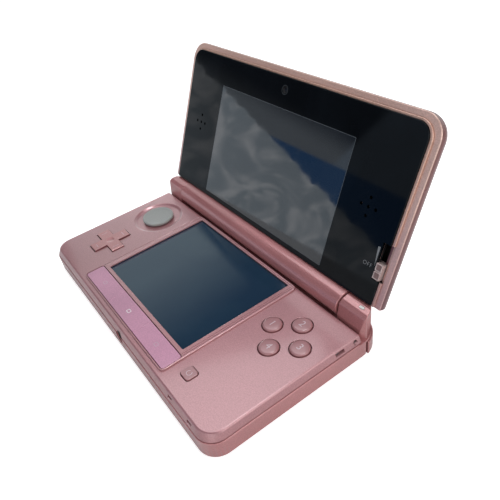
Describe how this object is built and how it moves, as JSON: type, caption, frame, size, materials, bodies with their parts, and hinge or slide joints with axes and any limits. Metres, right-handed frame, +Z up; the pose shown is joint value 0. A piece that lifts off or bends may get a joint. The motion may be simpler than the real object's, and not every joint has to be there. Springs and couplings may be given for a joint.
{
  "type": "clamshell handheld game console",
  "caption": "Folding handheld game console with a swinging lid, two screens, a slide pad, a direction pad and press buttons, shown open.",
  "frame": {"origin": "on the underside of the base, below the middle of the touch screen", "axes": "+X to the player's right, +Y from the front edge to the hinge, +Z up from the underside"},
  "size_m": [0.1342, 0.0985, 0.0762],
  "materials": {
    "rose_paint": "gloss",
    "mauve_paint": "satin",
    "steel": "satin",
    "rubber_grey": "matte",
    "cell_wrap": "matte",
    "circuit": "satin",
    "black_plastic": "matte",
    "screen_glass": "gloss",
    "dome_rubber": "matte",
    "smoke_plastic": "gloss",
    "clear_plastic": "gloss",
    "panel_black": "gloss",
    "grey_plastic": "satin",
    "pad_rubber": "matte",
    "key_plastic": "gloss"
  },
  "bodies": {
    "base": {"lower_case": "rose_paint", "upper_case": "mauve_paint", "battery_cover": "rose_paint", "cover_screws": "steel", "case_screws": "steel", "rubber_feet": "rubber_grey", "battery": "cell_wrap", "main_board": "circuit", "chip_shield": "steel", "game_card_slot": "steel", "sd_card_slot": "steel", "wifi_board": "circuit", "circle_pad_housing": "black_plastic", "screen_bezel": "mauve_paint", "touch_screen": "screen_glass", "lower_lcd": "black_plastic", "rubber_domes": "dome_rubber", "headphone_jack": "black_plastic", "charging_port": "black_plastic", "infrared_window": "smoke_plastic", "light_pipes": "clear_plastic", "hinge_light": "clear_plastic", "microphone": "black_plastic", "hinge_pins": "steel", "shoulder_pins": "steel"},
    "lid": {"lid_cover": "rose_paint", "lid_frame": "rose_paint", "hinge_barrel": "rose_paint", "front_panel": "panel_black", "upper_lcd": "screen_glass", "speakers": "black_plastic", "inner_camera": "black_plastic", "outer_cameras": "panel_black", "lid_screws": "steel"},
    "depth_slider": {"depth_slider": "grey_plastic"},
    "pad_carriage": {"pad_carriage": "black_plastic"},
    "pad_cap": {"pad_cap": "pad_rubber"},
    "dpad_pivot": {"dpad_pivot": "black_plastic"},
    "direction_pad": {"direction_pad": "key_plastic"},
    "button_back": {"button_back": "key_plastic"},
    "button_left": {"button_left": "key_plastic"},
    "button_front": {"button_front": "key_plastic"},
    "button_right": {"button_right": "key_plastic"},
    "power_button": {"power_button": "key_plastic"},
    "select_key": {"select_key": "mauve_paint"},
    "home_key": {"home_key": "mauve_paint"},
    "start_key": {"start_key": "mauve_paint"},
    "left_shoulder": {"left_shoulder": "key_plastic"},
    "right_shoulder": {"right_shoulder": "key_plastic"},
    "volume_slider": {"volume_slider": "grey_plastic"},
    "wireless_switch": {"wireless_switch": "grey_plastic"},
    "sd_cover": {"sd_cover": "rose_paint"},
    "stylus": {"stylus": "black_plastic"}
  },
  "joints": [
    {"name": "lid_hinge", "type": "hinge", "parent": "base", "child": "lid", "pos_m": [0, 0.0306, 0.0143], "axis": [1, 0, 0], "range_deg": [-42, 113.2]},
    {"name": "depth_slider_slide", "type": "slide", "parent": "lid", "child": "depth_slider", "axis": [0, 0.3939, 0.9191], "range_m": [0, 0.0066]},
    {"name": "pad_slide_x", "type": "slide", "parent": "base", "child": "pad_carriage", "axis": [1, 0, 0], "range_m": [-0.0022, 0.0022], "stiffness_N_per_m": 200},
    {"name": "pad_slide_y", "type": "slide", "parent": "pad_carriage", "child": "pad_cap", "axis": [0, 1, 0], "range_m": [-0.0022, 0.0022], "stiffness_N_per_m": 200},
    {"name": "dpad_tilt_x", "type": "hinge", "parent": "base", "child": "dpad_pivot", "pos_m": [-0.0493, -0.015, 0.0101], "axis": [1, 0, 0], "range_deg": [-2, 2], "stiffness_Nm_per_rad": 0.3},
    {"name": "dpad_tilt_y", "type": "hinge", "parent": "dpad_pivot", "child": "direction_pad", "pos_m": [-0.0493, -0.015, 0.0101], "axis": [0, 1, 0], "range_deg": [-2, 2], "stiffness_Nm_per_rad": 0.3},
    {"name": "button_back_press", "type": "slide", "parent": "base", "child": "button_back", "axis": [0, 0, -1], "range_m": [0, 0.0005], "stiffness_N_per_m": 1500},
    {"name": "button_left_press", "type": "slide", "parent": "base", "child": "button_left", "axis": [0, 0, -1], "range_m": [0, 0.0005], "stiffness_N_per_m": 1500},
    {"name": "button_front_press", "type": "slide", "parent": "base", "child": "button_front", "axis": [0, 0, -1], "range_m": [0, 0.0005], "stiffness_N_per_m": 1500},
    {"name": "button_right_press", "type": "slide", "parent": "base", "child": "button_right", "axis": [0, 0, -1], "range_m": [0, 0.0005], "stiffness_N_per_m": 1500},
    {"name": "power_press", "type": "slide", "parent": "base", "child": "power_button", "axis": [0, 0, -1], "range_m": [0, 0.0003], "stiffness_N_per_m": 2500},
    {"name": "select_press", "type": "slide", "parent": "base", "child": "select_key", "axis": [0, 0, -1], "range_m": [0, 0.0003], "stiffness_N_per_m": 2500},
    {"name": "home_press", "type": "slide", "parent": "base", "child": "home_key", "axis": [0, 0, -1], "range_m": [0, 0.0003], "stiffness_N_per_m": 2500},
    {"name": "start_press", "type": "slide", "parent": "base", "child": "start_key", "axis": [0, 0, -1], "range_m": [0, 0.0003], "stiffness_N_per_m": 2500},
    {"name": "right_shoulder_press", "type": "hinge", "parent": "base", "child": "right_shoulder", "pos_m": [0.0458, 0.0336, 0.0043], "axis": [0, 0, -1], "range_deg": [0, 2], "stiffness_Nm_per_rad": 1},
    {"name": "left_shoulder_press", "type": "hinge", "parent": "base", "child": "left_shoulder", "pos_m": [-0.0458, 0.0336, 0.0043], "axis": [0, 0, 1], "range_deg": [0, 2], "stiffness_Nm_per_rad": 1},
    {"name": "volume_slide", "type": "slide", "parent": "base", "child": "volume_slider", "axis": [0, 1, 0], "range_m": [0, 0.0075]},
    {"name": "wireless_slide", "type": "slide", "parent": "base", "child": "wireless_switch", "axis": [0, 1, 0], "range_m": [0, 0.0017]},
    {"name": "sd_cover_hinge", "type": "hinge", "parent": "base", "child": "sd_cover", "pos_m": [-0.06655, 0, 0.00355], "axis": [0, -1, 0], "range_deg": [0, 90]},
    {"name": "stylus_slide", "type": "slide", "parent": "base", "child": "stylus", "axis": [0, 1, 0], "range_m": [0, 0.054]}
  ]
}
